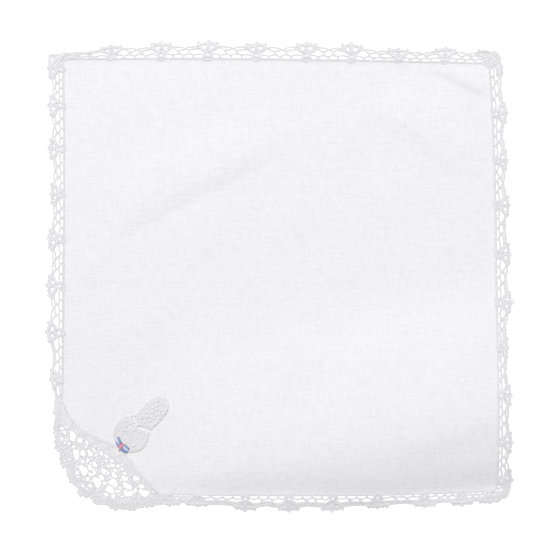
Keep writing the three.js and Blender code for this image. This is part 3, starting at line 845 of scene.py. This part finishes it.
def fan_reach(across):
    """How deep the fan is in millimetres at shares across it, without and with its scallops."""
    across = np.asarray(across, float)
    deep = np.linalg.norm(along_curve(FAN_OUTER, across) - along_curve(FAN_CUT, across), axis=1)
    scallop = np.abs(np.sin(FAN_SCALLOPS * np.pi * across)) - 0.6
    return deep, deep + SCALLOP_DEPTH * scallop * np.sin(np.pi * across)


def fan_openings():
    """The larger openings by size, and small ones scattered between them."""
    openings = []
    for group in OPENINGS:
        for place in np.array(group["places"], float):
            length, height = np.array(group["size"]) / 2 * hand.uniform(0.9, 1.1, 2)
            lean = np.radians(np.interp(place[0], (-128, -82), (-65, -15)))
            opening = {"place": place, "length": length, "height": height}
            openings.append({**opening, "turn": lean + hand.normal(0, 0.2), "pull": hand.uniform(0, 6)})
    for _ in range(SMALL_OPENINGS):
        place = fan_points([hand.uniform(0.1, 0.84)], [hand.uniform(0.2, 0.84)])[0]
        size = hand.uniform(0.5, 0.95)
        openings.append({"place": place, "length": size, "height": size, "turn": 0.0, "pull": 0.0})
    return openings


def unevenness(opening, angles):
    """How far an opening's edge is pulled out at angles round it, as a share of its size."""
    return 1 + 0.15 * np.sin(3 * angles + opening["pull"]) + 0.08 * np.cos(2 * angles)


def opening_edge(opening, grow):
    """The edge of an opening as a closed route of plan points."""
    angles = np.linspace(0, 2 * np.pi, 13)
    pulled = unevenness(opening, angles)
    u = (opening["length"] + grow) * pulled * np.cos(angles)
    v = (opening["height"] + grow) * pulled * np.sin(angles)
    cos, sin = np.cos(opening["turn"]), np.sin(opening["turn"])
    return opening["place"] + np.stack([u * cos - v * sin, u * sin + v * cos], axis=1)


def outside_openings(points):
    """Which plan points lie outside all openings of the fan."""
    free = np.ones(len(points), bool)
    for opening in FAN_OPENINGS:
        x, y = (points - opening["place"]).T
        u = (x * np.cos(opening["turn"]) + y * np.sin(opening["turn"])) / opening["length"]
        v = (y * np.cos(opening["turn"]) - x * np.sin(opening["turn"])) / opening["height"]
        free &= np.hypot(u, v) > unevenness(opening, np.arctan2(v, u))
    return free


def runs(free):
    """The unbroken runs of a row of yes and no, as slices."""
    edges = np.flatnonzero(np.diff(np.concatenate([[0], free.astype(int), [0]])))
    return [slice(first, last) for first, last in zip(edges[::2], edges[1::2])]


FAN_OPENINGS = fan_openings()
print("openings in the fan:", len(FAN_OPENINGS))


# %% Rows and posts of the fan
def add_open_chain(yarns, plan, width, level=0.65):
    """A chain along a route, left out where the route crosses an opening."""
    dense = smooth_route(plan, 0.3)
    for run in runs(outside_openings(dense)):
        if run.stop - run.start > 4:
            yarns.chain(dense[run][::2], width=width, level=level + hand.normal(0, 0.06))


def make_fan():
    """The crocheted panel in the corner."""
    yarns = Yarns()
    across = np.linspace(0, 1, 240)
    deep, reach = fan_reach(across)
    for from_cut in np.arange(0.3, BAND_DEPTH, ROW_SPACING):
        wander = from_cut + 0.2 * np.sin(9 * from_cut + 60 * across)
        add_open_chain(yarns, fan_points(across, np.minimum(wander, 0.5 * deep) / deep), 1.45)
    for from_outer in np.arange(0.6, BORDER_DEPTH, ROW_SPACING):
        add_open_chain(yarns, fan_points(across, np.maximum(reach - from_outer, 0.5 * deep) / deep), 1.45)
    row_starts = np.arange(BAND_DEPTH - 0.6, deep.max(), POST_HEIGHT * 0.8)
    for row, start in enumerate(row_starts):
        add_open_chain(yarns, fan_points(across, np.minimum(start, reach - 2) / deep), 1.3)
        for share in np.arange(0.02 + 0.007 * (row % 2), 0.98, POST_SPACING / FAN_LENGTH):
            room = fan_reach([share])[1][0]
            if start < room - 2.5:
                ends = np.array([share, share + hand.normal(0.006, 0.008)])
                levels = np.array([start, min(start + POST_HEIGHT, room - 1)]) / fan_reach(ends)[0]
                add_open_chain(yarns, fan_points(ends, levels), 1.35, level=0.75)
    for opening in FAN_OPENINGS[:-SMALL_OPENINGS]:
        yarns.chain(opening_edge(opening, 0.3), width=1.1, level=0.75)
    for share in np.arange(0.04, 0.97, 2.4 / FAN_LENGTH):
        at = share + hand.normal(0, 0.004)
        out = fan_reach([at])[1] + hand.normal(-0.1, 0.35)
        bump = fan_points([at], out / fan_reach([at])[0])[0]
        yarns.chain(ring_route(bump, hand.uniform(0.4, 0.8)), width=1.2)
    for out in np.arange(1.0, 9.0, 1.2):
        yarns.chain(lace_points(by_hand([(-8, out), (-4, out), (0.5, out)])), width=1.45)
        end_rows = [(HEM_LENGTH - 8.5 + 0.3 * out, out), (HEM_LENGTH - 4, out), (HEM_LENGTH + 1, out)]
        yarns.chain(lace_points(by_hand(end_rows)), width=1.45)
    for share in np.linspace(0.01, 0.99, 100):
        outs = np.linspace(-0.9 + hand.normal(0, 0.12), 0.6, 5)
        plan = fan_points(np.full(5, share), outs / fan_reach([share])[0])
        yarns.tube(np.concatenate([plan, (lift(plan) + STITCH_HEIGHTS)[:, None]], axis=1), STITCH_RADIUS)
    return yarns.piece("corner_fan_crochet", edging_cotton_with_painted_shade)


fan = make_fan()

# %% [markdown]
# ## The motif and its posy
# The motif is worked in close rows across its width, so it is a stack of chains clipped to its outline, with
# two slits where its lower and upper parts meet, a chain round its edge and small white knots on top. It is
# sewn on top of the cloth. The posy at its foot is a small bow of satin stitches: parallel blue threads for
# its loops, pale threads between them, and a red bud for its middle.

# %% Motif
MOTIF_WAIST = np.array([-97.6, -104.6])
MOTIF_AXIS = np.array([1, 1]) / np.sqrt(2)
MOTIF_SIDE = np.array([-1, 1]) / np.sqrt(2)
MOTIF_PROFILE = [
    (0.0, 4.0),
    (2.0, 8.2),
    (5.5, 10.9),
    (9.5, 11.7),
    (14.0, 10.7),
    (18.0, 8.2),
    (21.0, 7.2),
    (26.0, 7.3),
    (31.0, 7.3),
    (35.5, 6.4),
    (38.5, 4.4),
    (40.5, 1.6),
]
COLLAR_SLITS = [
    {"along": 17.2, "side": 4.6, "half_length": 2.9, "half_height": 0.95, "slope": -0.3},
    {"along": 17.4, "side": -3.2, "half_length": 3.3, "half_height": 0.95, "slope": 0.5},
]
MOTIF_LEVEL = 0.74
MOTIF_ROW_SPACING = 0.95
DOT_SIZE = 1.05
SHOULDER_DOTS = [(9, 7.6), (11.5, 6.0), (12.6, 8.2), (8.5, 4.5), (14.4, 5.0), (6.0, -6.0), (12.4, 1.0)]


def motif_points(along, side):
    """Plan points from distances along the motif's diagonal and to its side."""
    along, side = np.asarray(along, float)[:, None], np.asarray(side, float)[:, None]
    return MOTIF_WAIST + MOTIF_AXIS * along + MOTIF_SIDE * side


def motif_dots():
    """Places of the white knots: staggered rows in the upper part, a few in the lower part's shoulder."""
    dots = []
    for row, along in enumerate(np.arange(21.5, 37, 2.4)):
        for side in np.arange(-4.6, 4.7, 3.1) + 0.8 * (-1) ** row:
            dots.append((along + hand.normal(0, 0.35), side + hand.normal(0, 0.35)))
    return dots + SHOULDER_DOTS


def outside_slits(along, side):
    """Which places in the motif lie outside its slits."""
    free = np.ones(len(along), bool)
    for slit in COLLAR_SLITS:
        b = side - slit["side"]
        a = along - slit["along"] + slit["slope"] * b
        free &= (a / (slit["half_height"] + 0.45)) ** 2 + (b / (slit["half_length"] + 0.4)) ** 2 > 1
    return free


def make_motif():
    """The close-crocheted motif on the diagonal."""
    yarns = Yarns()
    outline = smooth_route(MOTIF_PROFILE, 0.3)
    for along in np.arange(0.8, 39.6, MOTIF_ROW_SPACING):
        half = np.interp(along, outline[:, 0], outline[:, 1]) - 0.7
        side = np.linspace(-half, half, max(int(half * 6), 6))
        arch = along + 1.1 * (1 - (side / max(half, 1)) ** 2) - 0.5
        for run in runs(outside_slits(arch, side)):
            if run.stop - run.start > 3:
                yarns.chain(motif_points(arch[run], side[run]), width=1.25, level=MOTIF_LEVEL)
    rim_along = np.concatenate([outline[:, 0], outline[::-1, 0], outline[:1, 0]])
    rim_side = np.concatenate([outline[:, 1], -outline[::-1, 1], outline[:1, 1]])
    rim = motif_points(rim_along, rim_side - 0.5 * np.sign(rim_side))
    yarns.chain(rim[::4], width=1.1, level=MOTIF_LEVEL - 0.25)
    return yarns.piece("motif_crochet", motif_cotton)


def make_knots():
    """White knots that stand on the motif."""
    yarns = Yarns()
    for along, side in motif_dots():
        place = motif_points([along], [side])[0]
        yarns.chain(ring_route(place, 0.35), width=DOT_SIZE, level=MOTIF_LEVEL + 0.5)
    return yarns.piece("motif_knots", knot_cotton)


motif = make_motif()
knots = make_knots()

# %% Posy of satin stitches
LEAVES = [
    {"start": (-99.0, -99.8), "end": (-97.1, -103.5)},
    {"start": (-99.9, -102.4), "end": (-98.5, -105.2)},
    {"start": (-95.0, -104.5), "end": (-92.4, -107.2)},
    {"start": (-97.4, -106.9), "end": (-93.2, -108.7)},
]
LOOP_FILLS = [
    {"start": (-99.9, -100.9), "end": (-98.2, -104.3)},
    {"start": (-95.8, -105.6), "end": (-92.9, -108.0)},
]
BUD = np.array([-96.9, -105.0])
POSY_LEVEL = 1.35


def satin_stitch(yarns, start, end, threads, spacing):
    """Parallel threads side by side between two points, arched a little over the cloth."""
    start, end = np.array(start), np.array(end)
    line = (end - start) / np.linalg.norm(end - start)
    sideways = np.array([-line[1], line[0]])
    share = np.linspace(0, 1, 7)
    for k in range(threads):
        place = (k - (threads - 1) / 2) * spacing
        plan = start + (end - start) * share[:, None] + sideways * place
        heights = POSY_LEVEL + lift(plan) + 0.5 * np.sin(np.pi * share) - 0.12 * abs(k - (threads - 1) / 2)
        yarns.tube(np.concatenate([plan, heights[:, None]], axis=1), 0.3)


def make_posy():
    """Blue leaves with pale threads between them, and a red bud, at the motif's foot."""
    blue = Yarns()
    for leaf in LEAVES:
        satin_stitch(blue, leaf["start"], leaf["end"], 3, 0.45)
    pale = Yarns()
    for fill in LOOP_FILLS:
        satin_stitch(pale, fill["start"], fill["end"], 2, 0.4)
    red = Yarns()
    satin_stitch(red, BUD - [1.5, 1.1], BUD + [1.3, 1.3], 4, 0.5)
    satin_stitch(red, BUD, BUD + [-1.7, -3.2], 1, 0.5)
    leaves = blue.piece("posy_leaves", blue_cotton)
    fills = pale.piece("posy_loop_fills", pale_cotton)
    return [leaves, fills, red.piece("posy_bud", red_cotton)]


posy = make_posy()

# %% [markdown]
# ## What rides and what is replaced
# Nothing moves, so every piece rides on the one body. The crochet stands for the plain solids of the lace,
# and the sheet of lawn for the solid cloth, with the lace sewn to it.

# %% Ride and replace
for piece in [cloth, *edging, fan, motif, knots, *posy]:
    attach(piece, "root")
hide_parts("cloth")
for piece in edging:
    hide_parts("edging_lace")
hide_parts("corner_fan")
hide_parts("crochet_motif")
print("pieces ride on root")

# %% [markdown]
# ## Floor, light and camera
# The photograph is taken from straight above on a white ground that is brighter than the cloth, with soft
# light that comes from the top. A large white floor that gives off light of its own keeps the ground white
# and the shadows faint, one big soft lamp shows the folds, and the camera looks down
# through a long lens, so that the edges keep their true shape.

# %% Floor and light
FLOOR_SIZE = 60.0
bpy.ops.object.select_all(action="DESELECT")
bpy.ops.mesh.primitive_plane_add(size=FLOOR_SIZE, location=(0, 0, -0.0002))
floor = bpy.context.object
floor.name = "white_floor"
# Matte paper that glows, so that it is white also in the small holes of the lace.
paper = new_material("white_paper")
paper_shader = add_node(
    paper,
    "ShaderNodeBsdfPrincipled",
    {
        "Base Color": linear("#c4c4c4"),
        "Roughness": 0.9,
        "Emission Color": linear("#ffffff"),
        "Emission Strength": 0.92,
    },
)
add_node(paper, "ShaderNodeOutputMaterial", {"Surface": paper_shader.outputs["BSDF"]})
paper.cycles.emission_sampling = "NONE"
floor.data.materials.append(paper)

scene = bpy.context.scene
world = bpy.data.worlds.new("soft_room")
world.use_nodes = True
world.node_tree.nodes["Background"].inputs["Color"].default_value = linear("#fdfcff")
world.node_tree.nodes["Background"].inputs["Strength"].default_value = 0.37
scene.world = world
lamp = bpy.data.lights.new("soft_lamp", "AREA")
lamp.shape = "SQUARE"
lamp.size = 2.2
lamp.energy = 95
lamp_object = bpy.data.objects.new("soft_lamp", lamp)
lamp_object.location = (-0.32, 1.7, 2.7)
scene.collection.objects.link(lamp_object)
aim = -lamp_object.location
lamp_object.rotation_euler = aim.to_track_quat("-Z", "Y").to_euler()
scene.view_settings.view_transform = "Standard"
print("floor and light ready")

# %% Camera straight above
PIXEL = 0.62  # millimetres of the handkerchief in one pixel of the photograph
FRAME_PIXELS = 550
FRAME_MIDDLE = (275, 275)
PLAN_MIDDLE = (278, 276.25)  # the pixel at the middle of the drawing
LENS = 110
camera_data = bpy.data.cameras.new("camera_above")
camera_data.lens = LENS
camera_data.sensor_width = 36
camera = bpy.data.objects.new("camera_above", camera_data)
frame_width = FRAME_PIXELS * PIXEL * MM
offset = np.array([FRAME_MIDDLE[0] - PLAN_MIDDLE[0], PLAN_MIDDLE[1] - FRAME_MIDDLE[1]]) * PIXEL
camera.location = (
    (offset[0] + DRAWING_SHIFT[0]) * MM,
    (offset[1] + DRAWING_SHIFT[1]) * MM,
    frame_width * LENS / camera_data.sensor_width,
)
scene.collection.objects.link(camera)
scene.camera = camera
print("camera at", tuple(camera.location))
